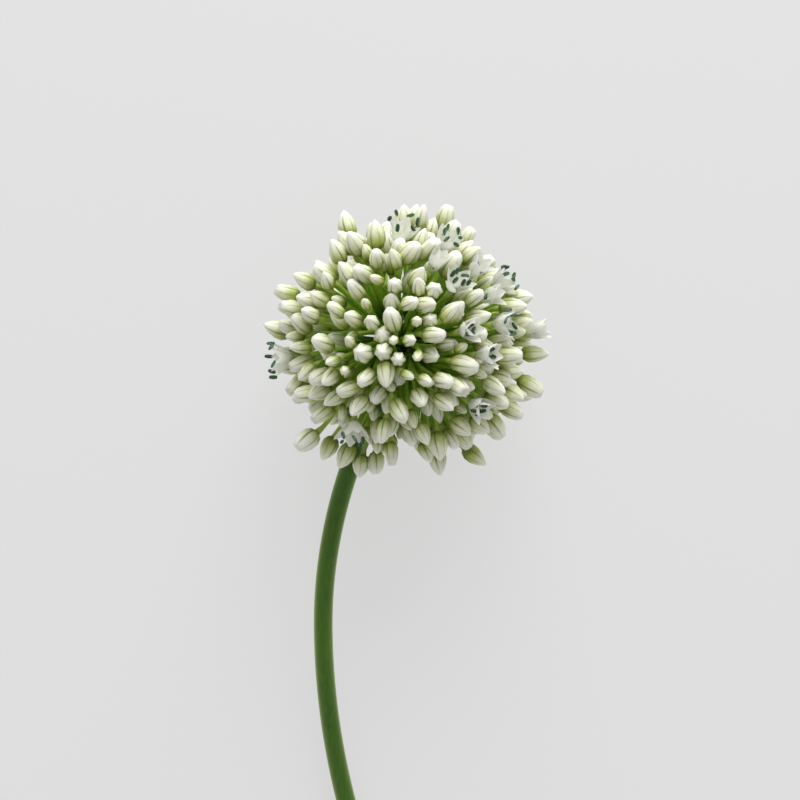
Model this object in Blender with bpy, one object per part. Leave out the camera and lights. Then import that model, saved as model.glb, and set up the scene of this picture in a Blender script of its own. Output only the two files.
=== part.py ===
"""An allium flower head, cut and laid down: one curved scape, and an umbel of slender pedicels with closed
buds and a few open flowers. The florets stand in bunches, the cymes that the umbel is condensed from. +Z is up,
the scape runs along Y with the head at +Y, and the head and the cut end rest on the plane z = 0."""

import math

import bmesh
import bpy
import numpy as np
from mathutils import Matrix, Vector

MM = 0.001

# The scape, in millimetres from the middle of the head, seen from above
SCAPE_LENGTH = 130.0  # along Y
SCAPE_BOW = 19.3  # how far the stalk bows to -X
SCAPE_BOW_AT = 65.0  # where along -Y the bow is widest
SCAPE_FOOT = 12.3  # how far the cut end comes back to +X
SCAPE_RADIUS = 2.25
SCAPE_FLARE = 0.2  # thicker by this at both ends
SCAPE_SAG = 1.35  # above 1, the cut end lies flatter than the rest
BUDS_END = 0.19  # where along the scape the buds leave off
SCAPE_SIDES = 10
SCAPE_POINTS = 27
KNOB_RADIUS = 4.4  # the receptacle that carries the pedicels

# The head
HEAD_HEIGHT = 27.0  # middle of the head above the surface that it rests on
REACH = 32.2  # from the middle of the head to the tip of an outer bud
REACH_LEAN = np.array((1.2, 2.4, -0.6))  # florets reach farther toward these sides
FLORETS = 356
SCATTER = 0.04
CROWDING = np.array((-0.04, -0.02, 0.22))  # florets stand closer together toward this side
LAYER_SHARES = (0.0, 0.55, 0.84, 1.0)  # share of the buds, and the reach that those of that rank have
LAYER_REACHES = (1.0, 0.91, 0.83, 0.73)
CYMES = 41
GATHER_ROUNDS = 12
BASE_RADIUS = 4.75  # where the foot of a cyme starts, just clear of the receptacle
BASE_TILT = math.radians(52)  # no foot nearer than this to the scape's line
SCAPE_CLEAR = math.radians(12.5)  # no bud nearer than this to the scape's line
CYME_CLEAR = math.radians(15)  # a single flower stands between cymes, this far from their middles
FOOT_LENGTH = 1.5
FOOT_RADIUS = 0.72
FOOT_SPACING = 1.95
START_HEIGHT = 1.05  # a pedicel starts this far up in the foot
START_OFFSET = 0.42  # and this far to its own side of the foot's middle line
FLORET_SIDES = 5
PEDICEL_RADIUS = 0.48
PEDICEL_START = 0.38  # thinner where it leaves the foot

# A closed bud: half its length, half its width, and its outline as (share of length, share of half width)
BUD_HALF_LENGTH = 3.0
BUD_HALF_WIDTH = 1.88
BUD_OUTLINE = ((0.0, 0.3), (0.45, 1.0), (1.0, 0.34))
SIZE_RANGE = 0.2
SIZE_LEAN = 0.1  # buds are larger where the pedicels reach farther
YOUNG_SHARE = 0.34
YOUNG_SIZE = 0.74
YOUNG_REACH = 0.94
BUD_FLATTEN = 0.62  # buds turn outward from the upright: the Z of their axis against that of their pedicel
BUD_LEAN = np.array((0.12, 0.0, 0.0))  # and all of them toward this side
BUD_SWAY = 0.14
CLEARANCE = 0.24
GIVE = 0.22  # share of its way clear that a floret turns in one round
FOOT_GIVE = 0.3
SEED = 15
ROUNDS = 45
# Three balls stand in for a bud when neighbours are moved apart: place along its half length, share of width
BALLS_AT = np.array((-0.45, 0.05, 0.55))
BALL_WIDTHS = np.array((0.8, 1.0, 0.8))

# Buds that lead the upper side: X and Y of the bud's middle from the middle of the head, and size
LEADING_BUDS = (
    (-23.0, 15.0, 0.95), (-17.5, 15.0, 0.8), (-15.0, 22.0, 1.05), (-13.5, 28.5, 1.15), (-10.5, 24.0, 1.15),
    (-6.5, 25.5, 1.15), (-9.0, 16.5, 1.1), (-2.5, 14.0, 0.95), (1.0, 21.5, 1.1), (-25.5, 9.0, 1.1),
    (-21.5, 7.5, 0.9), (-15.5, 8.0, 0.82), (-11.5, 6.0, 0.95), (-7.0, 5.0, 0.82), (-3.0, 5.5, 1.02),
    (9.5, 30.0, 1.15), (3.0, 29.5, 1.05), (5.5, 21.5, 1.05), (5.0, 9.0, 1.1), (8.0, 13.5, 0.95),
    (13.0, 7.5, 0.9), (6.5, 3.0, 1.0), (22.5, 8.0, 1.1), (25.5, 11.5, 1.05), (-18.5, 0.5, 1.0),
    (-9.5, -1.5, 1.08), (-5.0, -0.5, 1.1), (-9.0, -6.5, 1.05), (-4.0, -6.0, 1.12), (-22.0, -10.5, 1.1),
    (-12.5, -9.5, 0.9), (-10.0, -13.0, 1.0), (-1.0, -14.0, 1.1), (-17.5, -23.0, 1.0), (-14.0, -24.5, 1.08),
    (-7.5, -26.0, 0.95), (8.0, -6.0, 1.0), (12.0, -9.0, 1.1), (3.0, -11.5, 1.05), (13.5, -4.0, 1.15),
    (20.0, -9.0, 1.1), (23.0, -1.5, 1.1), (24.0, -10.5, 1.1), (8.5, -12.5, 1.0), (7.5, -22.0, 1.1),
    (8.0, -26.0, 1.05), (30.0, -1.0, 1.1), (29.0, -8.5, 1.15), (20.5, -18.0, 1.1), (-29.5, 4.5, 1.1),
    (-27.0, 13.0, 1.0), (-18.5, -15.0, 1.0), (-8.5, 9.5, 0.65), (-2.0, 1.5, 0.65), (-16.0, -3.5, 0.7),
    (-13.5, -5.5, 0.65), (3.0, -2.5, 0.7), (0.5, -6.5, 0.65), (4.5, -7.5, 0.75), (-12.5, 1.0, 0.7),
    (-6.5, 20.0, 0.95), (-2.0, 19.5, 0.9), (-6.0, 15.0, 0.72), (0.5, 9.5, 0.85), (-9.0, -27.5, 0.95),
    (1.0, 1.0, 0.8), (2.5, 5.5, 0.72), (-1.5, -3.0, 0.85), (3.5, 13.0, 0.8),
)
LEADING_ROUNDS = 8
LEADING_GIVE = 0.25  # how readily a leading bud or an open flower gives way, against the others
RIM_HEIGHT = 1.5  # a leading bud of the outline stands this far above the middle of the head
# Directions in which the buds stand apart and show the pedicels between them
PARTINGS = ((7.5, -4.5, 26.0), (-20.0, 4.5, 20.0), (-20.0, 4.5, -20.0), (-12.0, 19.0, 18.0))
PARTING_ANGLE = math.radians(6)
# Sides of the outline, seen from above, where the florets fall short
NOTCHES = np.array(((-0.76, -0.65), (0.54, -0.84), (-0.66, 0.75), (0.77, 0.64), (-0.05, -1.0), (0.6, 0.8)))
NOTCH_DEPTH = 0.18
NOTCH_SHARPNESS = 28

# Open flowers: the middle of each as X, Y and Z from the middle of the head, and the spread of its tepals
OPEN_FLOWERS = (
    (-2.0, 25.0, 14.5, 46), (10.0, 22.0, 18.0, 42), (12.5, 14.0, 24.0, 38), (21.0, 7.5, 20.0, 40),
    (16.5, -12.2, 19.0, 34), (-28.0, -1.8, 2.5, 46), (30.0, 4.0, 4.0, 30), (-11.5, -19.0, 15.5, 42),
    (-12.5, 4.5, -23.0, 40), (20.0, 14.5, -13.5, 50), (20.0, 14.0, 17.5, 42), (15.0, 18.5, 19.0, 30),
    (17.5, 11.0, 21.5, 28), (14.5, 6.5, 25.5, 32), (17.5, 1.5, 24.0, 34), (9.0, 18.0, 23.0, 26),
)
TEPAL_LENGTH = 6.4
TEPAL_OUTLINE = ((0.0, 0.4), (0.55, 1.26), (1.0, 0.2))  # share of length, half width
TEPAL_THICKNESS = 0.3  # share of its width
TEPAL_LIFT = 0.1  # above the neck
STAMEN_LENGTH = 6.6
FULL_SPREAD = math.radians(46)  # at which the stamens are full grown
STAMEN_LIFT = 0.5
STAMEN_RADII = (0.16, 0.28)
STAMEN_LEAN = 0.72  # share of the tepals' spread
FLOWER_HALF_LENGTH = 3.0
WHORL_ROLL = 0.25  # of a sixth of a turn, from the flower's own side to its first tepal
FLOWER_WIDTH = 0.96  # room that it takes, against the reach of its tepals

# An open flower's stalk from its neck up, through the ovary and the style: height and radius
FLOWER_STALK = ((-1.2, 0.48), (0.2, 0.95), (1.5, 1.15), (2.6, 0.4), (4.2, 0.18))

# Buds on longer pedicels: middle of each as X, Y and Z, size, and where its axis leans beside the pedicel
STRAY_BUDS = ((-22.5, -21.2, 5.5, 1.05), (16.2, -24.2, 4.0, 1.1))
STRAY_LEANS = ((-0.1, 0.0, 0.0), (0.4, 0.25, 0.0))


def unit(v):
    return v / np.linalg.norm(v, axis=-1, keepdims=True)


def scape_point(along):
    """Middle of the scape where `along` runs from 0 in the receptacle to 1 at the cut end."""
    y = -SCAPE_LENGTH * along
    below = max(0.0, -y - SCAPE_BOW_AT) / (SCAPE_LENGTH - SCAPE_BOW_AT)
    above = max(0.0, y + SCAPE_BOW_AT) / SCAPE_BOW_AT
    x = -SCAPE_BOW + SCAPE_BOW * above**2 + SCAPE_FOOT * below**2
    foot = SCAPE_RADIUS + SCAPE_FLARE - HEAD_HEIGHT
    z = foot - foot * (1 - along) ** SCAPE_SAG
    return np.array((x, y, z))


# From the middle of the head along the top of the scape, to where it leaves the buds
SCAPE_WAY = unit(scape_point(BUDS_END))


def spread_about_scape(count, gap):
    """Even directions over the sphere, apart from a cone of half angle `gap` about the scape."""
    step = np.arange(count) + 0.5
    cosine = math.cos(gap) - (math.cos(gap) + 1) * step / count
    turn = math.pi * (3 - math.sqrt(5)) * step
    side = unit(np.cross(SCAPE_WAY, (0, 0, 1)))
    over = np.cross(side, SCAPE_WAY)
    sine = np.sqrt(1 - cosine**2)
    return (
        cosine[:, None] * SCAPE_WAY
        + (sine * np.cos(turn))[:, None] * side
        + (sine * np.sin(turn))[:, None] * over
    )


def keep_off(ways, line, gap):
    """Turns each direction that lies within `gap` of a line out to that angle."""
    cosine = ways @ line
    across = unit(ways - cosine[:, None] * line)
    out = math.cos(gap) * line + math.sin(gap) * across
    return np.where((cosine > math.cos(gap))[:, None], out, ways)


def push_apart(ways, need, share):
    """One round that turns directions away from neighbours nearer than the angle `need`."""
    cosine = np.clip(ways @ ways.T, -1, 1)
    short = np.clip(need - np.arccos(cosine), 0, None)
    np.fill_diagonal(short, 0)
    away = ways[:, None, :] * cosine[..., None] - ways[None, :, :]
    away /= np.linalg.norm(away, axis=-1, keepdims=True) + 1e-9
    return unit(ways + (away * short[..., None]).sum(1) * share)


class Florets:
    """Every floret of the umbel: the buds of the cymes, then the open flowers, then the stray buds."""

    def __init__(self):
        rng = np.random.default_rng(SEED)
        ways = spread_about_scape(FLORETS, SCAPE_CLEAR)
        ways = unit(ways + rng.normal(0, SCATTER, ways.shape) + CROWDING)
        reach = np.interp(rng.random(FLORETS), LAYER_SHARES, LAYER_REACHES)
        size = 1 + SIZE_RANGE * (rng.random(FLORETS) - 0.5) + SIZE_LEAN * (ways @ unit(REACH_LEAN))
        young = rng.random(FLORETS) < YOUNG_SHARE
        size[young] *= YOUNG_SIZE
        reach[young] *= YOUNG_REACH
        reach *= 1 - NOTCH_DEPTH * (np.clip(ways[:, :2] @ NOTCHES.T, 0, 1) ** NOTCH_SHARPNESS).sum(1)
        held = np.zeros(FLORETS, bool)
        for x, y, scale in LEADING_BUDS:
            place = self.rise(x, y, BUD_HALF_LENGTH * scale)
            way = unit(place)
            nearest = int(np.argmax(np.where(held, -2, ways @ way)))
            ways[nearest], size[nearest], held[nearest] = way, scale, True
            reach[nearest] = self.reach_to(np.linalg.norm(place), way, BUD_HALF_LENGTH * scale)

        singles = np.array(OPEN_FLOWERS + STRAY_BUDS)
        single_ways = unit(singles[:, :3])
        room = TEPAL_LENGTH * np.sin(np.radians([row[3] for row in OPEN_FLOWERS])) * FLOWER_WIDTH
        strays = singles[len(OPEN_FLOWERS) :, 3]
        self.half_length = np.concatenate(
            [BUD_HALF_LENGTH * size, np.full(len(room), FLOWER_HALF_LENGTH), BUD_HALF_LENGTH * strays]
        )
        self.half_width = np.concatenate([BUD_HALF_WIDTH * size, room, BUD_HALF_WIDTH * strays])
        single_reach = self.reach_to(
            np.linalg.norm(singles[:, :3], axis=1), single_ways, self.half_length[FLORETS:]
        )
        self.ways = np.vstack([ways, single_ways])
        self.reach = np.append(reach, single_reach)
        self.held = np.append(held, np.full(len(singles), True))
        self.sway = rng.normal(0, BUD_SWAY, self.ways.shape) + BUD_LEAN
        self.sway[-len(STRAY_BUDS) :] = STRAY_LEANS
        self.starts = None
        self.settle()
        self.owners, self.feet = gather_cymes(self.ways)
        self.starts = self.pedicel_starts()
        self.settle()

    @staticmethod
    def rise(x, y, half_length):
        """Middle of an outer bud that stands over X and Y on the upper side of the head."""
        place = np.array((x, y, REACH))
        for _ in range(LEADING_ROUNDS):
            radius = REACH + unit(place) @ REACH_LEAN - half_length
            place[2] = math.sqrt(max(radius**2 - x**2 - y**2, RIM_HEIGHT**2))
        return place

    @staticmethod
    def reach_to(distance, way, half_length):
        return (distance + half_length) / (REACH + way @ REACH_LEAN)

    def place(self):
        """Axis and middle of each bud, with the lowest ones resting on the surface."""
        self.axes = unit(self.ways * (1, 1, BUD_FLATTEN) + self.sway)
        distance = self.reach * (REACH + self.ways @ REACH_LEAN) - self.half_length
        upright = self.axes[:, 2] ** 2
        drop = np.sqrt(self.half_length**2 * upright + self.half_width**2 * (1 - upright))
        self.distance = np.minimum(distance, (HEAD_HEIGHT - drop) / np.clip(-self.ways[:, 2], 1e-3, None))
        self.middles = self.ways * self.distance[:, None]
        self.necks = self.middles - self.axes * self.half_length[:, None]

    def settle(self):
        for _ in range(ROUNDS):
            self.place()
            self.part()
        self.place()

    def pedicel_starts(self):
        """Where each pedicel leaves its cyme's foot, or the receptacle when it stands alone."""
        feet = self.feet[self.owners]
        lean = self.ways[:FLORETS] - (self.ways[:FLORETS] * feet).sum(1, keepdims=True) * feet
        length = np.linalg.norm(lean, axis=1, keepdims=True)
        lean *= np.minimum(1, START_OFFSET / length)
        grouped = feet * (BASE_RADIUS + START_HEIGHT) + lean
        return np.vstack([grouped, self.feet[CYMES:] * BASE_RADIUS])

    def part(self):
        """Turns each pedicel a little where its bud lies in another bud or across another pedicel."""
        count = len(self.ways)
        along = self.half_length[:, None] * BALLS_AT
        balls = (self.middles[:, None, :] + self.axes[:, None, :] * along[..., None]).reshape(-1, 3)
        radii = (self.half_width[:, None] * BALL_WIDTHS).reshape(-1)
        owner = np.repeat(np.arange(count), len(BALLS_AT))
        between = balls[:, None, :] - balls[None, :, :]
        apart = np.linalg.norm(between, axis=-1) + 1e-9
        deep = np.clip(radii[:, None] + radii[None, :] + CLEARANCE - apart, 0, None)
        deep[owner[:, None] == owner[None, :]] = 0
        push = (between / apart[..., None] * deep[..., None]).sum(1)

        roots = self.ways * (BASE_RADIUS + FOOT_LENGTH) if self.starts is None else self.starts
        run = self.necks - roots
        share = ((balls[:, None, :] - roots) * run).sum(-1) / (run**2).sum(-1)
        share = np.clip(share, 0, 1)
        between = balls[:, None, :] - roots - run * share[..., None]
        apart = np.linalg.norm(between, axis=-1) + 1e-9
        deep = np.clip(radii[:, None] + PEDICEL_RADIUS + CLEARANCE - apart, 0, None)
        deep[owner[:, None] == np.arange(count)] = 0
        cross = between / apart[..., None] * deep[..., None]
        push += cross.sum(1)
        turn = push.reshape(count, -1, 3).sum(1) - (cross * share[..., None]).sum(0)
        if self.starts is not None:
            turn += self.clear_pedicels()
        turn *= GIVE / self.distance[:, None]
        turn[self.held] *= LEADING_GIVE
        self.ways = unit(self.ways + turn)
        for line in PARTINGS:
            self.ways = keep_off(self.ways, unit(np.array(line)), PARTING_ANGLE)
        self.ways = keep_off(self.ways, SCAPE_WAY, SCAPE_CLEAR)

    def clear_pedicels(self):
        """How far each neck moves so that its pedicel clears those of the other cymes."""
        run = self.necks - self.starts
        between = self.starts[:, None, :] - self.starts[None, :, :]
        square, both = (run**2).sum(1), run @ run.T
        own, other = (between * run[:, None, :]).sum(2), (between * run[None, :, :]).sum(2)
        # Shares of the way up each pedicel where the two of a pair come nearest to each other
        share = (both * other - square[None, :] * own) / (square[:, None] * square[None, :] - both**2 + 1e-9)
        theirs = np.clip((both * np.clip(share, 0, 1) + other) / square[None, :], 0, 1)
        share = np.clip((both * theirs - own) / square[:, None], 0, 1)
        between += run[:, None, :] * share[..., None] - run[None, :, :] * theirs[..., None]
        apart = np.linalg.norm(between, axis=-1) + 1e-9
        deep = np.clip(2 * PEDICEL_RADIUS + CLEARANCE - apart, 0, None)
        cyme = np.append(self.owners, CYMES + np.arange(len(self.ways) - FLORETS))
        deep[cyme[:, None] == cyme[None, :]] = 0
        return (between / apart[..., None] * (deep * share)[..., None]).sum(1)


def gather_cymes(ways):
    """Which cyme each bud belongs to, and the direction in which each cyme's foot leaves the receptacle."""
    buds, singles = ways[:FLORETS], ways[FLORETS:]
    seeds = spread_about_scape(CYMES, SCAPE_CLEAR)
    for _ in range(GATHER_ROUNDS):
        own = np.argmax(buds @ seeds.T, axis=1)
        seeds = unit(np.array([buds[own == k].sum(0) for k in range(CYMES)]))
        for single in singles:
            seeds = keep_off(seeds, single, CYME_CLEAR)
    own = np.argmax(buds @ seeds.T, axis=1)
    feet = np.vstack([seeds, singles])
    angle = np.arccos(np.clip(feet @ SCAPE_WAY, -1, 1))
    turned = BASE_TILT + (angle - SCAPE_CLEAR) * (math.pi - BASE_TILT) / (math.pi - SCAPE_CLEAR)
    across = unit(feet - np.cos(angle)[:, None] * SCAPE_WAY)
    feet = np.cos(turned)[:, None] * SCAPE_WAY + np.sin(turned)[:, None] * across
    for _ in range(ROUNDS):
        feet = keep_off(push_apart(feet, FOOT_SPACING / BASE_RADIUS, FOOT_GIVE), SCAPE_WAY, BASE_TILT)
    return own, feet


def material(name, color, roughness):
    shade = bpy.data.materials.new(name)
    shade.use_nodes = True
    principled = shade.node_tree.nodes["Principled BSDF"]
    principled.inputs["Base Color"].default_value = (*color, 1)
    principled.inputs["Roughness"].default_value = roughness
    principled.inputs["Metallic"].default_value = 0
    shade.diffuse_color = (*color, 1)
    return shade


def ring(sides):
    """A round outline of radius 1 with few sides, which a tube takes as its section."""
    curve = bpy.data.curves.new(f"ring_{sides}", "CURVE")
    spline = curve.splines.new("POLY")
    spline.points.add(sides - 1)
    for k, point in enumerate(spline.points):
        turn = 2 * math.pi * k / sides
        point.co = (math.cos(turn), math.sin(turn), 0, 1)
    spline.use_cyclic_u = True
    guide = bpy.data.objects.new(f"ring_{sides}", curve)
    guide.hide_render = True
    guide.display_type = "WIRE"
    guides.objects.link(guide)
    return guide


def tube(name, points, radii, section):
    """A curve through the points, in millimetres, that takes the radii in turn. It is made a mesh later."""
    curve = bpy.data.curves.new(name, "CURVE")
    curve.dimensions = "3D"
    curve.bevel_mode = "OBJECT"
    curve.bevel_object = section
    curve.use_fill_caps = True
    spline = curve.splines.new("POLY")
    spline.points.add(len(points) - 1)
    for point, place, radius in zip(spline.points, points, radii):
        point.co = (*(np.array(place) * MM), 1)
        point.radius = radius * MM
    obj = bpy.data.objects.new(name, curve)
    guides.objects.link(obj)
    return obj


def make_mesh(obj, view):
    """Swaps a curve for a closed mesh object of the same name."""
    mesh = bpy.data.meshes.new_from_object(obj.evaluated_get(view))
    bm = bmesh.new()
    bm.from_mesh(mesh)
    bmesh.ops.remove_doubles(bm, verts=bm.verts, dist=0.00001)
    bmesh.ops.recalc_face_normals(bm, faces=bm.faces)
    bm.to_mesh(mesh)
    bm.free()
    name = obj.name
    bpy.data.objects.remove(obj)
    return bpy.data.objects.new(name, mesh)


def finish(name, solids, shade):
    """Adds the node `name`: the first solid, joined by a union to the others, which stay as guides."""
    node, *others = solids
    if others:
        group = bpy.data.collections.new(f"{name}_pieces")
        guides.children.link(group)
        for obj in others:
            group.objects.link(obj)
            obj.parent = middle
            obj.hide_render = True
            obj.display_type = "WIRE"
        union = node.modifiers.new("union", "BOOLEAN")
        union.operation = "UNION"
        union.solver = "EXACT"
        union.operand_type = "COLLECTION"
        union.collection = group
    node.name = name
    node.data.materials.append(shade)
    head.objects.link(node)
    node.parent = middle


def bud_curve(name, florets, k, section):
    """Floret k from the start of its pedicel to the tip of its closed bud."""
    length = florets.axes[k] * (2 * florets.half_length[k])
    places = [florets.starts[k]] + [florets.necks[k] + length * share for share, _ in BUD_OUTLINE]
    radii = [PEDICEL_START] + [max(PEDICEL_RADIUS, florets.half_width[k] * share) for _, share in BUD_OUTLINE]
    return tube(name, places, radii, section)


def build_scape(shade):
    steps = np.linspace(0, 1, SCAPE_POINTS)
    flare = SCAPE_FLARE * (2 * steps - 1) ** 2
    points = [scape_point(s) for s in steps]
    stalk = tube("scape_stalk", points, SCAPE_RADIUS + flare, ring(SCAPE_SIDES))
    knob = bpy.data.meshes.new("receptacle")
    bm = bmesh.new()
    bmesh.ops.create_uvsphere(bm, u_segments=16, v_segments=8, radius=KNOB_RADIUS * MM)
    bm.to_mesh(knob)
    bm.free()
    return [("scape", [bpy.data.objects.new("receptacle", knob), stalk], shade)]


def cyme_foot(name, way):
    """The short common stalk from which a cyme's pedicels part."""
    mesh = bpy.data.meshes.new(name)
    bm = bmesh.new()
    radius = FOOT_RADIUS * MM
    depth = FOOT_LENGTH * MM
    bmesh.ops.create_cone(bm, cap_ends=True, segments=6, radius1=0.9 * radius, radius2=radius, depth=depth)
    turn = way_to_matrix(way, way * (BASE_RADIUS + FOOT_LENGTH / 2))
    bmesh.ops.transform(bm, matrix=turn, verts=bm.verts)
    bm.to_mesh(mesh)
    bm.free()
    return bpy.data.objects.new(name, mesh)


def way_to_matrix(way, place, roll=0.0):
    """Turns a shape that stands along +Z to `way` and moves it to `place`, in millimetres."""
    turn = Vector(way).to_track_quat("Z", "Y").to_matrix().to_4x4()
    return Matrix.Translation(Vector(place) * MM) @ turn @ Matrix.Rotation(roll, 4, "Z")


def build_cymes(florets, shade):
    section = ring(FLORET_SIDES)
    drafts = []
    for cyme in range(CYMES):
        name = f"cyme_{cyme + 1:02d}"
        solids = [cyme_foot(f"{name}_foot", florets.feet[cyme])]
        for k in np.flatnonzero(florets.owners == cyme):
            solids.append(bud_curve(f"{name}_bud", florets, k, section))
        drafts.append((name, solids, shade))
    return drafts


def build_strays(florets, shade):
    section = ring(FLORET_SIDES)
    first = FLORETS + len(OPEN_FLOWERS)
    drafts = []
    for n in range(len(STRAY_BUDS)):
        name = f"stray_bud_{n + 1}"
        drafts.append((name, [bud_curve(f"{name}_curve", florets, first + n, section)], shade))
    return drafts


def petal_mesh(name, outline, thickness, sides):
    """A leaf shape along +Z: a turned outline with few sides, pressed flat."""
    mesh = bpy.data.meshes.new(name)
    bm = bmesh.new()
    rings = []
    for height, radius in outline:
        made = bmesh.ops.create_circle(bm, segments=sides, radius=radius * MM)
        for vert in made["verts"]:
            vert.co.z = height * MM
            vert.co.x *= thickness
        rings.append(made["verts"])
    for low, high in zip(rings, rings[1:]):
        bmesh.ops.bridge_loops(bm, edges=ring_edges(low) + ring_edges(high))
    for end in (rings[0], rings[-1]):
        bmesh.ops.contextual_create(bm, geom=end)
    bmesh.ops.recalc_face_normals(bm, faces=bm.faces)
    bm.to_mesh(mesh)
    bm.free()
    return mesh


def ring_edges(verts):
    linked = {edge for vert in verts for edge in vert.link_edges}
    return [edge for edge in linked if all(vert in verts for vert in edge.verts)]


def build_open_flowers(florets, shade):
    section = ring(FLORET_SIDES)
    tepal = petal_mesh("tepal", [(TEPAL_LENGTH * s, w) for s, w in TEPAL_OUTLINE], TEPAL_THICKNESS, 4)
    drafts = []
    for n, row in enumerate(OPEN_FLOWERS):
        k = FLORETS + n
        name = f"open_flower_{n + 1:02d}"
        axis = florets.axes[k]
        neck = florets.necks[k]
        places = [florets.starts[k]] + [neck + axis * up for up, _ in FLOWER_STALK]
        radii = [PEDICEL_RADIUS] + [radius for _, radius in FLOWER_STALK]
        solids = [tube(f"{name}_stalk", places, radii, section)]
        spread = math.radians(row[3])
        grown = STAMEN_LENGTH * min(1.0, spread / FULL_SPREAD) ** 2
        stamen = petal_mesh("stamen", list(zip((0.0, grown), STAMEN_RADII)), 1.0, 3)
        whorls = ((tepal, spread, TEPAL_LIFT), (stamen, spread * STAMEN_LEAN, STAMEN_LIFT))
        for turn in range(6):
            roll = math.pi / 3 * (turn + WHORL_ROLL)
            for part, lean, lift in whorls:
                tilted = way_to_matrix((math.sin(lean), 0, math.cos(lean)), (0, 0, 0))
                shape = part.copy()
                shape.transform(way_to_matrix(axis, neck + axis * lift, roll) @ tilted)
                solids.append(bpy.data.objects.new(f"{name}_{part.name}", shape))
        drafts.append((name, solids, shade))
    return drafts


for old in list(bpy.data.objects):
    bpy.data.objects.remove(old)
head = bpy.data.collections.new("allium_flower_head")
guides = bpy.data.collections.new("guides")
bpy.context.scene.collection.children.link(head)
bpy.context.scene.collection.children.link(guides)
middle = bpy.data.objects.new("middle_of_head", None)
head.objects.link(middle)

umbel = Florets()
cream = material("bud_cream", (0.62, 0.66, 0.44), 0.5)
nodes = build_scape(material("scape_green", (0.06, 0.12, 0.02), 0.45))
nodes += build_cymes(umbel, cream)
nodes += build_strays(umbel, cream)
nodes += build_open_flowers(umbel, material("tepal_white", (0.8, 0.82, 0.74), 0.5))
curved = bpy.context.evaluated_depsgraph_get()
for node_name, pieces, shade in nodes:
    closed = [make_mesh(piece, curved) if piece.type == "CURVE" else piece for piece in pieces]
    finish(node_name, closed, shade)

# The head's middle goes where the whole part rests on z = 0 with its box centred over the origin
view = bpy.context.evaluated_depsgraph_get()
corners = []
for node in head.objects:
    if node.type == "MESH":
        solid = node.evaluated_get(view)
        corners += [solid.matrix_world @ vert.co for vert in solid.data.vertices]
lowest = np.min(corners, axis=0)
highest = np.max(corners, axis=0)
middle.location = (-(lowest[0] + highest[0]) / 2, -(lowest[1] + highest[1]) / 2, -lowest[2])
bpy.context.view_layer.update()
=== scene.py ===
"""An allium flower head, cut and laid down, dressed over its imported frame. Lengths are in millimetres from
the middle of the head, until MM and `middle` bring them to their place."""

import math

import bmesh
import bpy
import numpy as np
from mathutils import Matrix, Vector


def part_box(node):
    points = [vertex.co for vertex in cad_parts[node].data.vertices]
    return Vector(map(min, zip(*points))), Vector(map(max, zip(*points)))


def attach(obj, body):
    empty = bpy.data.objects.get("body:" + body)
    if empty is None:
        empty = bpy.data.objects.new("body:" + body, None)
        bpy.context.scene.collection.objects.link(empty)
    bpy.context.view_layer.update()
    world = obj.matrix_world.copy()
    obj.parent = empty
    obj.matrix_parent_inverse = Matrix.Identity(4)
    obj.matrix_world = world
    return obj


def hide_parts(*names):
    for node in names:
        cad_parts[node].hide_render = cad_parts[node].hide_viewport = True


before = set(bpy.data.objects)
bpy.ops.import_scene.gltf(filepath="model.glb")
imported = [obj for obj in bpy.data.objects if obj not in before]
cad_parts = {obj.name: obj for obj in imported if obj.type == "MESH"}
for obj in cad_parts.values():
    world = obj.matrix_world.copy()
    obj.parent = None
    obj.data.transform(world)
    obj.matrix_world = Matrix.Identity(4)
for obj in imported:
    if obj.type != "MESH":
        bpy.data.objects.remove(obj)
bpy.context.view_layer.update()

# ---------------------------------------------------------------------------------------------------------
# The scape: the leafless stalk of the umbel, round, hollow and smooth, with a thin waxy bloom over dark
# green. It widens into the receptacle, the knob that all the pedicels grow from. At its foot a knife cut it
# square, which bares the pale wall round the hollow.

MM = 0.001
SCAPE_LENGTH = 130.0  # along Y
SCAPE_BOW = 19.3  # how far the stalk bows to -X
SCAPE_BOW_AT = 65.0  # where along -Y the bow is widest
SCAPE_FOOT = 12.3  # how far the cut end comes back to +X
SCAPE_RADIUS = 2.25
SCAPE_FLARE = 0.2  # how much its radius grows to both ends
SCAPE_SAG = 1.35  # above 1, it comes down fast at the head and lies flat at the cut
BUDS_END = 0.19  # where along the scape the buds leave off
SCAPE_POINTS = 33
KNOB_RADIUS = 4.4
HEAD_HEIGHT = 27.0  # of the middle of the head above the table
CUT_FROM = 0.99  # the cut is square to the line from here along the scape to its end
CUT_SKIN = 0.12  # thickness of the green skin round the cut
CUT_DIP = 0.1  # how far the soft wall has shrunk in from it
WALL = 0.8  # of the hollow stalk
HOLLOW = 9.0  # how far the hollow shows at the cut
MERGE = 0.01  # points nearer than this become one
NEAR = 0.1  # points nearer than this to an end belong to it

middle = np.array(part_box("scape")[1]) / MM - KNOB_RADIUS


def linear(hex_colour):
    """An sRGB hex colour as linear RGBA."""
    parts = [int(hex_colour[k : k + 2], 16) / 255 for k in (1, 3, 5)]
    return (*[p / 12.92 if p <= 0.04045 else ((p + 0.055) / 1.055) ** 2.4 for p in parts], 1.0)


def feed(node, inputs):
    """Gives each input of a node its value, the output that feeds it, or the node whose first output does."""
    for socket, value in inputs.items():
        if isinstance(value, bpy.types.Node):
            value = value.outputs[0]
        if isinstance(value, bpy.types.NodeSocket):
            node.id_data.links.new(value, node.inputs[socket])
        else:
            node.inputs[socket].default_value = value


def add_node(tree, kind, inputs, **settings):
    """Adds a node with its settings, and feeds its inputs."""
    made = tree.nodes.new(f"ShaderNode{kind}")
    for field, value in settings.items():
        setattr(made, field, value)
    feed(made, inputs)
    return made


def new_finish(name):
    """A new material, with its node tree and its shader."""
    finish = bpy.data.materials.new(name)
    finish.use_nodes = True
    return finish, finish.node_tree, finish.node_tree.nodes["Principled BSDF"]


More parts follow.
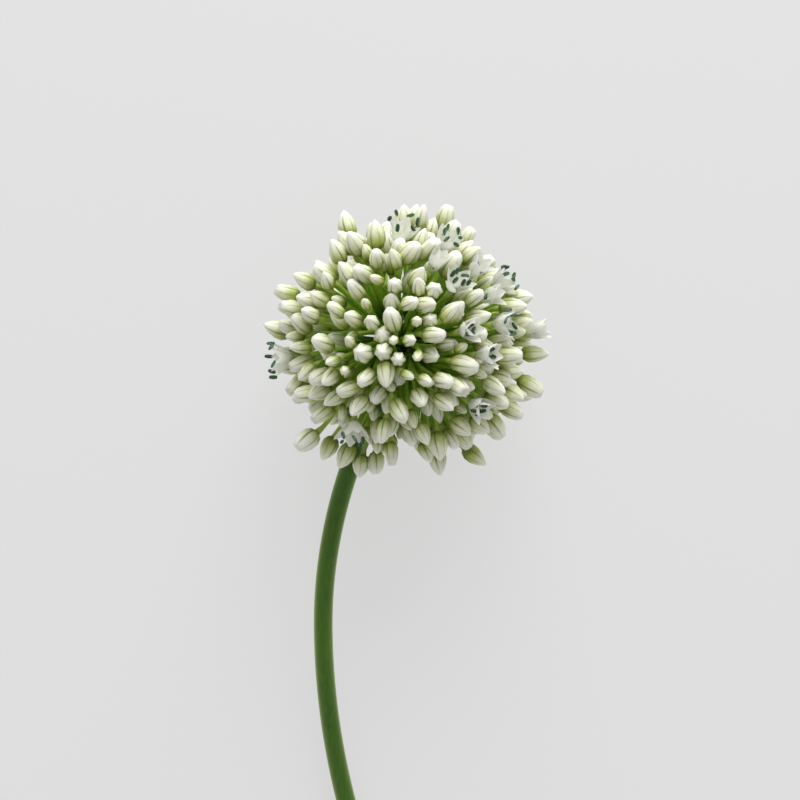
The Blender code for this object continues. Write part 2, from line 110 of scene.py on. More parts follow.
def set_stops(ramp, stops):
    """Gives a colour ramp a hex colour at each place from 0 to 1."""
    elements = ramp.color_ramp.elements
    for place in list(stops)[1:-1]:
        elements.new(place)
    for element, (place, colour) in zip(elements, stops.items()):
        element.position = place
        element.color = linear(colour)


def face_outwards():
    """In edit mode, turns every face of the shape outwards."""
    bpy.ops.mesh.select_all(action="SELECT")
    bpy.ops.mesh.normals_make_consistent(inside=False)


def select_points(obj, test):
    """In edit mode, selects the vertices that pass the test and nothing else."""
    bpy.ops.mesh.select_all(action="DESELECT")
    shape = bmesh.from_edit_mesh(obj.data)
    for vert in shape.verts:
        vert.select = test(vert.co)
    shape.select_flush_mode()
    bmesh.update_edit_mesh(obj.data)


def join(name, objects):
    """Joins the objects into the first one, which takes the name."""
    bpy.ops.object.select_all(action="DESELECT")
    for obj in objects:
        obj.select_set(True)
    bpy.context.view_layer.objects.active = objects[0]
    if len(objects) > 1:
        bpy.ops.object.join()
    objects[0].name = name
    objects[0].data.name = name
    return objects[0]


def scape_point(along):
    """Middle of the scape where `along` runs from 0 in the receptacle to 1 at the cut end."""
    y = -SCAPE_LENGTH * along
    below = max(0.0, -y - SCAPE_BOW_AT) / (SCAPE_LENGTH - SCAPE_BOW_AT)
    above = max(0.0, y + SCAPE_BOW_AT) / SCAPE_BOW_AT
    x = -SCAPE_BOW + SCAPE_BOW * above**2 + SCAPE_FOOT * below**2
    foot = SCAPE_RADIUS + SCAPE_FLARE - HEAD_HEIGHT
    z = foot - foot * (1 - along) ** SCAPE_SAG
    return np.array((x, y, z))


# Living green skin with fine streaks along it, a little paler in patches where the bloom is thick
scape_skin, tree, skin = new_finish("scape_waxy_green")
where = add_node(tree, "TexCoord", {}).outputs["Object"]
STREAK = (1 / (0.5 * MM), 1 / (14 * MM), 1 / (0.5 * MM))  # half a millimetre wide and long along Y
lengthwise = add_node(tree, "Mapping", {"Vector": where, "Scale": STREAK})
streaks = add_node(tree, "TexNoise", {"Vector": lengthwise, "Scale": 1.0, "Detail": 3.0})
patches = add_node(tree, "TexNoise", {"Vector": where, "Scale": 1 / (12 * MM), "Detail": 2.0})
green = add_node(tree, "ValToRGB", {"Fac": streaks})
set_stops(green, {0.3: "#2C4F05", 0.72: "#3A660A"})
bloom = add_node(tree, "MapRange", {"Value": patches, "From Min": 0.35, "From Max": 0.75, "To Max": 0.35})
bloomed = add_node(tree, "MixRGB", {"Fac": bloom, "Color1": green, "Color2": linear("#4C7610")})
ribs = add_node(tree, "Bump", {"Height": streaks, "Strength": 0.25, "Distance": 0.08 * MM})
feed(skin, {"Base Color": bloomed, "Normal": ribs})
feed(skin, {"Roughness": 0.42, "IOR": 1.42, "Specular IOR Level": 0.32})
feed(skin, {"Sheen Weight": 1.0, "Sheen Roughness": 0.5, "Sheen Tint": linear("#DCEBA4")})

# Wet white-green flesh of the cut wall, with its cells just to be seen
scape_flesh, tree, skin = new_finish("scape_cut_flesh")
where = add_node(tree, "TexCoord", {}).outputs["Object"]
cells = add_node(tree, "TexVoronoi", {"Vector": where, "Scale": 1 / (0.3 * MM)})
flesh = add_node(tree, "MixRGB", {"Fac": cells, "Color1": linear("#C8D69A"), "Color2": linear("#9DB866")})
feed(skin, {"Base Color": flesh, "Roughness": 0.35})

bpy.ops.object.select_all(action="DESELECT")
bpy.ops.curve.primitive_bezier_curve_add(radius=MM)
stalk = bpy.context.object
stalk.location = middle * MM
stalk.data.splines[0].bezier_points.add(SCAPE_POINTS - 2)
for point, along in zip(stalk.data.splines[0].bezier_points, np.linspace(0, 1, SCAPE_POINTS)):
    point.co = scape_point(along) * MM
    point.handle_left_type = point.handle_right_type = "AUTO"
    point.radius = SCAPE_RADIUS + SCAPE_FLARE * (2 * along - 1) ** 2
stalk.data.resolution_u = 2
stalk.data.bevel_depth = MM
stalk.data.bevel_resolution = 5
stalk.data.use_fill_caps = True
bpy.ops.object.convert(target="MESH")
stalk = bpy.context.object
bpy.ops.object.transform_apply(location=True, rotation=True, scale=True)
stalk.data.materials.clear()
stalk.data.materials.append(scape_skin)
stalk.data.materials.append(scape_flesh)

# The cut: the wall round the hollow, which goes in a little way
cut_middle = Vector((middle + scape_point(1.0)) * MM)
cut_way = Vector(scape_point(1.0) - scape_point(CUT_FROM)).normalized()
bpy.ops.object.mode_set(mode="EDIT")
bpy.ops.mesh.select_mode(type="VERT")
bpy.ops.mesh.select_all(action="SELECT")
bpy.ops.mesh.remove_doubles(threshold=MERGE * MM)
face_outwards()
select_points(stalk, lambda co: abs((co - cut_middle).dot(cut_way)) < NEAR * MM)
bpy.ops.mesh.select_mode(type="FACE")
bpy.ops.mesh.inset(thickness=CUT_SKIN * MM, depth=0)
stalk.active_material_index = 1
bpy.ops.object.material_slot_assign()
bpy.ops.mesh.inset(thickness=WALL * MM, depth=CUT_DIP * MM)
bpy.ops.mesh.extrude_region_move(TRANSFORM_OT_translate={"value": cut_way * -HOLLOW * MM})
bpy.ops.object.mode_set(mode="OBJECT")
bpy.ops.object.shade_smooth_by_angle(angle=math.radians(40))

bpy.ops.mesh.primitive_uv_sphere_add(
    segments=32, ring_count=20, radius=KNOB_RADIUS * MM, location=middle * MM
)
knob = bpy.context.object
bpy.ops.object.transform_apply(location=True, rotation=True, scale=True)
knob.data.materials.append(scape_skin)
bpy.ops.object.shade_smooth()
scape = join("scape_skin", [stalk, knob])
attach(scape, "root")
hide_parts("scape")

# ---------------------------------------------------------------------------------------------------------
# The umbel: where every floret stands. Each pedicel grows from the receptacle in a bunch with its
# neighbours and turns aside for them until no bud presses another. Under the head, where the buds meet the
# table, it gives way.

REACH = 32.2  # from the middle of the head to the tip of an outer bud
REACH_LEAN = np.array((1.2, 2.4, -0.6))  # florets reach farther toward these sides
FLORETS = 356
SCATTER = 0.04  # how far a direction strays from the even spread, in radians
CROWDING = np.array((-0.04, -0.02, 0.22))  # florets stand closer together toward this side
# Shares of the buds, and how far toward the outline the bud at each share reaches
LAYER_SHARES = (0.0, 0.55, 0.84, 1.0)
LAYER_REACHES = (1.0, 0.91, 0.83, 0.73)
CYMES = 41
GATHER_ROUNDS = 12
BASE_RADIUS = 4.75  # where the foot of a cyme starts, just clear of the receptacle
BASE_TILT = math.radians(52)  # no foot nearer than this to the scape's line
SCAPE_CLEAR = math.radians(12.5)  # no bud nearer than this to the scape's line
CYME_CLEAR = math.radians(15)  # a single flower stands between cymes, this far from their middles
FOOT_LENGTH = 1.5
FOOT_RADIUS = 0.72
FOOT_SPACING = 1.95
START_HEIGHT = 1.05  # a pedicel starts this far up in the foot
START_OFFSET = 0.42  # and this far to its own side of the foot's middle line
PEDICEL_RADIUS = 0.48
BUD_HALF_LENGTH = 3.0
BUD_HALF_WIDTH = 1.88
SIZE_RANGE = 0.2  # between the smallest and the largest of the grown buds
SIZE_LEAN = 0.1  # buds are larger where the pedicels reach farther
YOUNG_SHARE = 0.34  # of the buds
YOUNG_SIZE = 0.74
YOUNG_REACH = 0.94
BUD_FLATTEN = 0.62  # buds turn outward from the upright: the Z of their axis against that of their pedicel
BUD_LEAN = np.array((0.12, 0.0, 0.0))  # and all of them toward this side
BUD_SWAY = 0.14  # how far each leans its own way
CLEARANCE = 0.24  # left between neighbours
GIVE = 0.22  # share of its way clear that a floret turns in one round
FOOT_GIVE = 0.3  # and a foot
SEED = 15
ROUNDS = 45
TONE_SPREAD = 0.5  # in how green a bud is
PLUMPNESS_SPREAD = 0.04
# Three balls stand in for a bud when neighbours are moved apart: place along its half length, share of its
# half width
BALLS_AT = np.array((-0.45, 0.05, 0.55))
BALL_WIDTHS = np.array((0.8, 1.0, 0.8))
TEPAL_LENGTH = 6.4
FLOWER_HALF_LENGTH = 3.0
WHORL_ROLL = 0.25  # of a sixth of a turn, from the flower's own side to its first tepal
FLOWER_WIDTH = 0.96  # room that an open flower takes, against the reach of its tepals

# Buds that lead the upper side: X and Y of the bud's middle from the middle of the head, and size
LEADING_BUDS = (
    (-23.0, 15.0, 0.95), (-17.5, 15.0, 0.8), (-15.0, 22.0, 1.05), (-13.5, 28.5, 1.15), (-10.5, 24.0, 1.15),
    (-6.5, 25.5, 1.15), (-9.0, 16.5, 1.1), (-2.5, 14.0, 0.95), (1.0, 21.5, 1.1), (-25.5, 9.0, 1.1),
    (-21.5, 7.5, 0.9), (-15.5, 8.0, 0.82), (-11.5, 6.0, 0.95), (-7.0, 5.0, 0.82), (-3.0, 5.5, 1.02),
    (9.5, 30.0, 1.15), (3.0, 29.5, 1.05), (5.5, 21.5, 1.05), (5.0, 9.0, 1.1), (8.0, 13.5, 0.95),
    (13.0, 7.5, 0.9), (6.5, 3.0, 1.0), (22.5, 8.0, 1.1), (25.5, 11.5, 1.05), (-18.5, 0.5, 1.0),
    (-9.5, -1.5, 1.08), (-5.0, -0.5, 1.1), (-9.0, -6.5, 1.05), (-4.0, -6.0, 1.12), (-22.0, -10.5, 1.1),
    (-12.5, -9.5, 0.9), (-10.0, -13.0, 1.0), (-1.0, -14.0, 1.1), (-17.5, -23.0, 1.0), (-14.0, -24.5, 1.08),
    (-7.5, -26.0, 0.95), (8.0, -6.0, 1.0), (12.0, -9.0, 1.1), (3.0, -11.5, 1.05), (13.5, -4.0, 1.15),
    (20.0, -9.0, 1.1), (23.0, -1.5, 1.1), (24.0, -10.5, 1.1), (8.5, -12.5, 1.0), (7.5, -22.0, 1.1),
    (8.0, -26.0, 1.05), (30.0, -1.0, 1.1), (29.0, -8.5, 1.15), (20.5, -18.0, 1.1), (-29.5, 4.5, 1.1),
    (-27.0, 13.0, 1.0), (-18.5, -15.0, 1.0), (-8.5, 9.5, 0.65), (-2.0, 1.5, 0.65), (-16.0, -3.5, 0.7),
    (-13.5, -5.5, 0.65), (3.0, -2.5, 0.7), (0.5, -6.5, 0.65), (4.5, -7.5, 0.75), (-12.5, 1.0, 0.7),
    (-6.5, 20.0, 0.95), (-2.0, 19.5, 0.9), (-6.0, 15.0, 0.72), (0.5, 9.5, 0.85), (-9.0, -27.5, 0.95),
    (1.0, 1.0, 0.8), (2.5, 5.5, 0.72), (-1.5, -3.0, 0.85), (3.5, 13.0, 0.8),
)
LEADING_ROUNDS = 8
LEADING_GIVE = 0.25  # how readily a leading bud or an open flower gives way, against the others
RIM_HEIGHT = 1.5  # a leading bud of the outline stands this far above the middle of the head
# Directions in which the buds stand apart and show the pedicels between them
PARTINGS = ((7.5, -4.5, 26.0), (-20.0, 4.5, 20.0), (-20.0, 4.5, -20.0), (-12.0, 19.0, 18.0))
PARTING_ANGLE = math.radians(6)
# Sides of the outline, seen from above, where the florets fall short
NOTCHES = np.array(((-0.76, -0.65), (0.54, -0.84), (-0.66, 0.75), (0.77, 0.64), (-0.05, -1.0), (0.6, 0.8)))
NOTCH_DEPTH = 0.18
NOTCH_SHARPNESS = 28
# Open flowers: the middle of each as X, Y and Z from the middle of the head, and the spread of its tepals
OPEN_FLOWERS = (
    (-2.0, 25.0, 14.5, 46), (10.0, 22.0, 18.0, 42), (12.5, 14.0, 24.0, 38), (21.0, 7.5, 20.0, 40),
    (16.5, -12.2, 19.0, 34), (-28.0, -1.8, 2.5, 46), (30.0, 4.0, 4.0, 30), (-11.5, -19.0, 15.5, 42),
    (-12.5, 4.5, -23.0, 40), (20.0, 14.5, -13.5, 50), (20.0, 14.0, 17.5, 42), (15.0, 18.5, 19.0, 30),
    (17.5, 11.0, 21.5, 28), (14.5, 6.5, 25.5, 32), (17.5, 1.5, 24.0, 34), (9.0, 18.0, 23.0, 26),
)
# Buds on longer pedicels: middle of each as X, Y and Z, size, and where its axis leans beside the pedicel
STRAY_BUDS = ((-22.5, -21.2, 5.5, 1.05), (16.2, -24.2, 4.0, 1.1))
STRAY_LEANS = ((-0.1, 0.0, 0.0), (0.4, 0.25, 0.0))


def unit(v):
    return v / np.linalg.norm(v, axis=-1, keepdims=True)


# From the middle of the head along the top of the scape, to where it leaves the buds
SCAPE_WAY = unit(scape_point(BUDS_END))


def spread_about_scape(count, gap):
    """Even directions over the sphere, apart from a cone of half angle `gap` about the scape."""
    step = np.arange(count) + 0.5
    cosine = math.cos(gap) - (math.cos(gap) + 1) * step / count
    turn = math.pi * (3 - math.sqrt(5)) * step
    side = unit(np.cross(SCAPE_WAY, (0, 0, 1)))
    over = np.cross(side, SCAPE_WAY)
    sine = np.sqrt(1 - cosine**2)
    return (
        cosine[:, None] * SCAPE_WAY
        + (sine * np.cos(turn))[:, None] * side
        + (sine * np.sin(turn))[:, None] * over
    )


def keep_off(ways, line, gap):
    """Turns each direction that lies within `gap` of a line out to that angle."""
    cosine = ways @ line
    across = unit(ways - cosine[:, None] * line)
    out = math.cos(gap) * line + math.sin(gap) * across
    return np.where((cosine > math.cos(gap))[:, None], out, ways)


def push_apart(ways, need, share):
    """One round that turns directions away from neighbours nearer than the angle `need`."""
    cosine = np.clip(ways @ ways.T, -1, 1)
    short = np.clip(need - np.arccos(cosine), 0, None)
    np.fill_diagonal(short, 0)
    away = ways[:, None, :] * cosine[..., None] - ways[None, :, :]
    away /= np.linalg.norm(away, axis=-1, keepdims=True) + 1e-9
    return unit(ways + (away * short[..., None]).sum(1) * share)


class Florets:
    """Every floret of the umbel: the buds of the cymes, then the open flowers, then the stray buds."""

    def __init__(self):
        rng = np.random.default_rng(SEED)
        ways = spread_about_scape(FLORETS, SCAPE_CLEAR)
        ways = unit(ways + rng.normal(0, SCATTER, ways.shape) + CROWDING)
        reach = np.interp(rng.random(FLORETS), LAYER_SHARES, LAYER_REACHES)
        size = 1 + SIZE_RANGE * (rng.random(FLORETS) - 0.5) + SIZE_LEAN * (ways @ unit(REACH_LEAN))
        young = rng.random(FLORETS) < YOUNG_SHARE
        size[young] *= YOUNG_SIZE
        reach[young] *= YOUNG_REACH
        reach *= 1 - NOTCH_DEPTH * (np.clip(ways[:, :2] @ NOTCHES.T, 0, 1) ** NOTCH_SHARPNESS).sum(1)
        held = np.zeros(FLORETS, bool)
        for x, y, scale in LEADING_BUDS:
            place = self.rise(x, y, BUD_HALF_LENGTH * scale)
            way = unit(place)
            nearest = int(np.argmax(np.where(held, -2, ways @ way)))
            ways[nearest], size[nearest], held[nearest] = way, scale, True
            reach[nearest] = self.reach_to(np.linalg.norm(place), way, BUD_HALF_LENGTH * scale)

        singles = np.array(OPEN_FLOWERS + STRAY_BUDS)
        single_ways = unit(singles[:, :3])
        room = TEPAL_LENGTH * np.sin(np.radians([row[3] for row in OPEN_FLOWERS])) * FLOWER_WIDTH
        strays = singles[len(OPEN_FLOWERS) :, 3]
        self.half_length = np.concatenate(
            [BUD_HALF_LENGTH * size, np.full(len(room), FLOWER_HALF_LENGTH), BUD_HALF_LENGTH * strays]
        )
        self.half_width = np.concatenate([BUD_HALF_WIDTH * size, room, BUD_HALF_WIDTH * strays])
        single_reach = self.reach_to(
            np.linalg.norm(singles[:, :3], axis=1), single_ways, self.half_length[FLORETS:]
        )
        self.ways = np.vstack([ways, single_ways])
        self.reach = np.append(reach, single_reach)
        self.held = np.append(held, np.full(len(singles), True))
        self.sway = rng.normal(0, BUD_SWAY, self.ways.shape) + BUD_LEAN
        self.sway[-len(STRAY_BUDS) :] = STRAY_LEANS
        self.starts = None
        self.settle()
        self.owners, self.feet = gather_cymes(self.ways)
        self.starts = self.pedicel_starts()
        self.settle()

    @staticmethod
    def rise(x, y, half_length):
        """Middle of an outer bud that stands over X and Y on the upper side of the head."""
        place = np.array((x, y, REACH))
        for _ in range(LEADING_ROUNDS):
            radius = REACH + unit(place) @ REACH_LEAN - half_length
            place[2] = math.sqrt(max(radius**2 - x**2 - y**2, RIM_HEIGHT**2))
        return place

    @staticmethod
    def reach_to(distance, way, half_length):
        return (distance + half_length) / (REACH + way @ REACH_LEAN)

    def place(self):
        """Axis and middle of each bud, with the lowest ones resting on the surface."""
        self.axes = unit(self.ways * (1, 1, BUD_FLATTEN) + self.sway)
        distance = self.reach * (REACH + self.ways @ REACH_LEAN) - self.half_length
        upright = self.axes[:, 2] ** 2
        drop = np.sqrt(self.half_length**2 * upright + self.half_width**2 * (1 - upright))
        self.distance = np.minimum(distance, (HEAD_HEIGHT - drop) / np.clip(-self.ways[:, 2], 1e-3, None))
        self.middles = self.ways * self.distance[:, None]
        self.necks = self.middles - self.axes * self.half_length[:, None]

    def settle(self):
        for _ in range(ROUNDS):
            self.place()
            self.part()
        self.place()

    def pedicel_starts(self):
        """Where each pedicel leaves its cyme's foot, or the receptacle when it stands alone."""
        feet = self.feet[self.owners]
        lean = self.ways[:FLORETS] - (self.ways[:FLORETS] * feet).sum(1, keepdims=True) * feet
        length = np.linalg.norm(lean, axis=1, keepdims=True)
        lean *= np.minimum(1, START_OFFSET / length)
        grouped = feet * (BASE_RADIUS + START_HEIGHT) + lean
        return np.vstack([grouped, self.feet[CYMES:] * BASE_RADIUS])

    def part(self):
        """Turns each pedicel a little where its bud lies in another bud or across another pedicel."""
        count = len(self.ways)
        along = self.half_length[:, None] * BALLS_AT
        balls = (self.middles[:, None, :] + self.axes[:, None, :] * along[..., None]).reshape(-1, 3)
        radii = (self.half_width[:, None] * BALL_WIDTHS).reshape(-1)
        owner = np.repeat(np.arange(count), len(BALLS_AT))
        between = balls[:, None, :] - balls[None, :, :]
        apart = np.linalg.norm(between, axis=-1) + 1e-9
        deep = np.clip(radii[:, None] + radii[None, :] + CLEARANCE - apart, 0, None)
        deep[owner[:, None] == owner[None, :]] = 0
        push = (between / apart[..., None] * deep[..., None]).sum(1)

        roots = self.ways * (BASE_RADIUS + FOOT_LENGTH) if self.starts is None else self.starts
        run = self.necks - roots
        share = ((balls[:, None, :] - roots) * run).sum(-1) / (run**2).sum(-1)
        share = np.clip(share, 0, 1)
        between = balls[:, None, :] - roots - run * share[..., None]
        apart = np.linalg.norm(between, axis=-1) + 1e-9
        deep = np.clip(radii[:, None] + PEDICEL_RADIUS + CLEARANCE - apart, 0, None)
        deep[owner[:, None] == np.arange(count)] = 0
        cross = between / apart[..., None] * deep[..., None]
        push += cross.sum(1)
        turn = push.reshape(count, -1, 3).sum(1) - (cross * share[..., None]).sum(0)
        if self.starts is not None:
            turn += self.clear_pedicels()
        turn *= GIVE / self.distance[:, None]
        turn[self.held] *= LEADING_GIVE
        self.ways = unit(self.ways + turn)
        for line in PARTINGS:
            self.ways = keep_off(self.ways, unit(np.array(line)), PARTING_ANGLE)
        self.ways = keep_off(self.ways, SCAPE_WAY, SCAPE_CLEAR)

    def clear_pedicels(self):
        """How far each neck moves so that its pedicel clears those of the other cymes."""
        run = self.necks - self.starts
        between = self.starts[:, None, :] - self.starts[None, :, :]
        square, both = (run**2).sum(1), run @ run.T
        own, other = (between * run[:, None, :]).sum(2), (between * run[None, :, :]).sum(2)
        # Shares of the way up each pedicel where the two of a pair come nearest to each other
        share = (both * other - square[None, :] * own) / (square[:, None] * square[None, :] - both**2 + 1e-9)
        theirs = np.clip((both * np.clip(share, 0, 1) + other) / square[None, :], 0, 1)
        share = np.clip((both * theirs - own) / square[:, None], 0, 1)
        between += run[:, None, :] * share[..., None] - run[None, :, :] * theirs[..., None]
        apart = np.linalg.norm(between, axis=-1) + 1e-9
        deep = np.clip(2 * PEDICEL_RADIUS + CLEARANCE - apart, 0, None)
        cyme = np.append(self.owners, CYMES + np.arange(len(self.ways) - FLORETS))
        deep[cyme[:, None] == cyme[None, :]] = 0
        return (between / apart[..., None] * (deep * share)[..., None]).sum(1)


def gather_cymes(ways):
    """Which cyme each bud belongs to, and the direction in which each cyme's foot leaves the receptacle."""
    buds, singles = ways[:FLORETS], ways[FLORETS:]
    seeds = spread_about_scape(CYMES, SCAPE_CLEAR)
    for _ in range(GATHER_ROUNDS):
        own = np.argmax(buds @ seeds.T, axis=1)
        seeds = unit(np.array([buds[own == k].sum(0) for k in range(CYMES)]))
        for single in singles:
            seeds = keep_off(seeds, single, CYME_CLEAR)
    own = np.argmax(buds @ seeds.T, axis=1)
    feet = np.vstack([seeds, singles])
    angle = np.arccos(np.clip(feet @ SCAPE_WAY, -1, 1))
    turned = BASE_TILT + (angle - SCAPE_CLEAR) * (math.pi - BASE_TILT) / (math.pi - SCAPE_CLEAR)
    across = unit(feet - np.cos(angle)[:, None] * SCAPE_WAY)
    feet = np.cos(turned)[:, None] * SCAPE_WAY + np.sin(turned)[:, None] * across
    for _ in range(ROUNDS):
        feet = keep_off(push_apart(feet, FOOT_SPACING / BASE_RADIUS, FOOT_GIVE), SCAPE_WAY, BASE_TILT)
    return own, feet


umbel = Florets()
rng = np.random.default_rng(SEED + 1)
rolls = rng.uniform(0, 2 * math.pi, len(umbel.ways))
tones = rng.normal(0, TONE_SPREAD, len(umbel.ways))
plumpness = rng.normal(1, PLUMPNESS_SPREAD, len(umbel.ways))

# ---------------------------------------------------------------------------------------------------------
# The pedicel: the thin fleshy stalk of one floret, bright yellow-green, smooth and solid. It leaves the foot
# of its cyme, arches a little and widens into a small cup that holds the bud.

PEDICEL_SIDES = 6
# Height, as a share of its length, and radius
PEDICEL_RINGS = ((0.0, 0.45), (0.14, 0.5), (0.38, 0.5), (0.65, 0.5), (0.9, 0.55), (1.0, 0.85))
PEDICEL_PULL = 0.3  # share of its length over which it keeps straight at each end
PATH_POINTS = 14  # of each line that a pattern is bent along

# Smooth full flesh with a soft gloss, yellow-green. Its colour holds painted shade and painted light: dark
# green at the foot, deep in the bunch, and bright yellow-green toward the bud
pedicel_green, tree, skin = new_finish("pedicel_yellow_green")
skin_map = add_node(tree, "UVMap", {}, uv_map="skin")
height = add_node(tree, "SeparateXYZ", {"Vector": skin_map}).outputs["Y"]
where = add_node(tree, "TexCoord", {}).outputs["Object"]
mottle = add_node(tree, "TexNoise", {"Vector": where, "Scale": 1 / (2.5 * MM), "Detail": 2.0})
lightness = add_node(tree, "MapRange", {"Value": mottle, "To Min": 0.75, "To Max": 1.2})
# Painted shade and light along the pedicel: dark shaded green at its foot, bright lit yellow-green toward its
# bud
green = add_node(tree, "ValToRGB", {"Fac": height})
set_stops(green, {0.0: "#34540A", 0.24: "#5C861A", 0.55: "#ACD040", 0.9: "#A2C04A", 1.0: "#A2B65A"})
varied = add_node(tree, "HueSaturation", {"Color": green, "Value": lightness})
feed(skin, {"Base Color": varied, "Roughness": 0.4, "IOR": 1.42})
feed(skin, {"Subsurface Weight": 0.2, "Subsurface Radius": (0.6, 1.0, 0.2), "Subsurface Scale": 0.5 * MM})


def write_skin(obj, across, height):
    """Writes the map that the materials read: u from midrib (0) to edge (1), v from foot (0) to tip (1)."""
    mesh = obj.data
    layer = mesh.uv_layers.new(name="skin")
    for loop in mesh.loops:
        place = mesh.vertices[loop.vertex_index].co
        layer.uv[loop.index].vector = (across(place), height(place))


def raise_ring(rise, scale):
    """In edit mode, draws the selected ring up to a new one, wider by a factor."""
    bpy.ops.mesh.extrude_region_move(TRANSFORM_OT_translate={"value": (0, 0, rise)})
    bpy.ops.transform.resize(value=(scale, scale, 1), center_override=(0, 0, 0))


def dress(pattern, finish, across, height):
    """Ends the modelling of a pattern: smooths it, and gives it its material and the map that this reads."""
    bpy.ops.object.mode_set(mode="OBJECT")
    bpy.ops.object.shade_smooth()
    pattern.data.materials.append(finish)
    write_skin(pattern, across, height)


# A straight stalk, a millimetre tall and real in width, that each pedicel takes its own mesh from
bpy.ops.object.select_all(action="DESELECT")
bpy.ops.mesh.primitive_circle_add(
    vertices=PEDICEL_SIDES, radius=PEDICEL_RINGS[0][1] * MM, fill_type="NGON"
)
pedicel = bpy.context.object
bpy.ops.object.mode_set(mode="EDIT")
for (low, narrow), (high, wide) in zip(PEDICEL_RINGS, PEDICEL_RINGS[1:]):
    raise_ring((high - low) * MM, wide / narrow)
face_outwards()
dress(pedicel, pedicel_green, lambda co: 0.5, lambda co: co.z / MM)


def copy_of(pattern, tone):
    """A copy of the pattern with its own mesh, which carries how green or how white it is."""
    obj = bpy.data.objects.new(pattern.name, pattern.data.copy())
    bpy.context.collection.objects.link(obj)
    marks = obj.data.attributes.new("tone", "FLOAT", "POINT")
    marks.data.foreach_set("value", np.full(len(obj.data.vertices), tone))
    return obj


def arch(start, leave, meet, end):
    """Points of a smooth path that leaves `start` one way and meets `end` another way."""
    pull = np.linalg.norm(end - start) * PEDICEL_PULL
    s = np.linspace(0, 1, PATH_POINTS)[:, None]
    return (
        (1 - s) ** 3 * start
        + 3 * (1 - s) ** 2 * s * (start + leave * pull)
        + 3 * (1 - s) * s**2 * (end - meet * pull)
        + s**3 * end
    )


def bend_along(obj, path, side):
    """Bends a pattern that stands a millimetre tall along the path. Its X stays near `side`."""
    co = np.empty(len(obj.data.vertices) * 3)
    obj.data.vertices.foreach_get("co", co)
    co = co.reshape(-1, 3) / MM
    tangents = unit(np.gradient(path, axis=0))
    normals = unit(np.cross(tangents, side))
    sides = np.cross(normals, tangents)
    steps = np.linspace(0, 1, len(path))
    spot, out, up = (
        np.stack([np.interp(co[:, 2], steps, rows[:, axis]) for axis in range(3)], 1)
        for rows in (path, sides, normals)
    )
    bent = spot + out * co[:, :1] + up * co[:, 1:2]
    obj.data.vertices.foreach_set("co", (bent * MM).ravel())
    obj.data.update()
    return obj


def pedicel_of(k, seat):
    """The pedicel of floret k, which ends as far as `seat` above the neck of the floret, along its axis."""
    leave = umbel.feet[umbel.owners[k]] if k < FLORETS else umbel.feet[CYMES + k - FLORETS]
    end = umbel.necks[k] + umbel.axes[k] * seat
    path = middle + arch(umbel.starts[k], leave, umbel.axes[k], end)
    side = unit(np.cross(path[-1] - path[0], umbel.ways[k][[1, 2, 0]]))
    return bend_along(copy_of(pedicel, tones[k]), path, side)


# ---------------------------------------------------------------------------------------------------------
# The closed bud: six tepals folded over each other, three broad outer ones and three narrower inner ones.
# They are thin, matt and cream-white, greener toward the base, with a dark green seam between neighbours. The
# olive low on each bud and the darkness of the seams are partly painted shade.

BUD_SIDES = 12  # one in the seam and one on the crown of each tepal
BUD_RINGS = {  # height, radius and depth of the seams, as shares of the bud's length, half width and radius
    "ripe": (
        (0.0, 0.32, 0.0), (0.06, 0.72, 0.08), (0.24, 1.06, 0.16),
        (0.49, 1.06, 0.17), (0.75, 0.74, 0.15), (0.93, 0.3, 0.1),
    ),
    "blunt": (
        (0.0, 0.32, 0.0), (0.06, 0.7, 0.08), (0.25, 1.04, 0.17),
        (0.51, 1.08, 0.19), (0.79, 0.86, 0.2), (0.95, 0.46, 0.22),
    ),
    "opening": (
        (0.0, 0.32, 0.0), (0.06, 0.74, 0.07), (0.24, 1.02, 0.15),
        (0.52, 1.02, 0.18), (0.8, 0.86, 0.23), (0.98, 0.6, 0.3),
    ),
    "young": (
        (0.0, 0.36, 0.0), (0.08, 0.68, 0.03), (0.27, 0.94, 0.07),
        (0.53, 0.95, 0.08), (0.78, 0.66, 0.1), (0.94, 0.3, 0.1),
    ),
}
# How far each tip tops the last ring, as a share of the bud's length
BUD_TIPS = {"ripe": 0.08, "blunt": -0.01, "opening": -0.14, "young": 0.05}
BUD_KINDS = {"ripe": 0.58, "blunt": 0.32, "opening": 0.1}  # share of each among the grown buds
BUD_TWIST = math.radians(22)  # the tepals wind round each other this far from neck to tip
BUD_BEND = 0.09  # how far a tip leans aside, as a share of the bud's length
BUD_SEAT = 0.25  # how far the pedicel reaches into the bud
# From crown (0) to edge (1), for the sides of a bud in turn: every other seam is fainter
SEAM_SHARES = (1.0, 0.0, 0.88, 0.0)
IN_SEAM = 0.8  # beyond this share, a point lies in a seam
TIP_NEAR = 0.02  # points nearer than this to the axis are the tip, or the middle of the neck
RING_NEAR = 0.01  # points nearer than this to a ring belong to it, as a share of the bud's length
YOUNG_BELOW = 0.8  # of the usual size, a bud is a young one
YOUNG_TONE = 1.6  # and this much greener
# The two stray buds: a plump one about to open, and a green pointed one
STRAY_KINDS = ("blunt", "ripe")
STRAY_TONES = (-3.0, 2.5)
STRAY_PLUMPNESS = (1.28, 0.95)

# Thin living leaf, matt and cream, that takes a little light in and is faintly ribbed by its veins
tepal_cream, tree, skin = new_finish("bud_tepal_cream")
skin_map = add_node(tree, "UVMap", {}, uv_map="skin")
across, height, _ = add_node(tree, "SeparateXYZ", {"Vector": skin_map}).outputs
tone = add_node(tree, "Attribute", {}, attribute_name="tone").outputs["Fac"]
where = add_node(tree, "TexCoord", {}).outputs["Object"]
mottle = add_node(tree, "TexNoise", {"Vector": where, "Scale": 1 / (1.6 * MM), "Detail": 3.0})
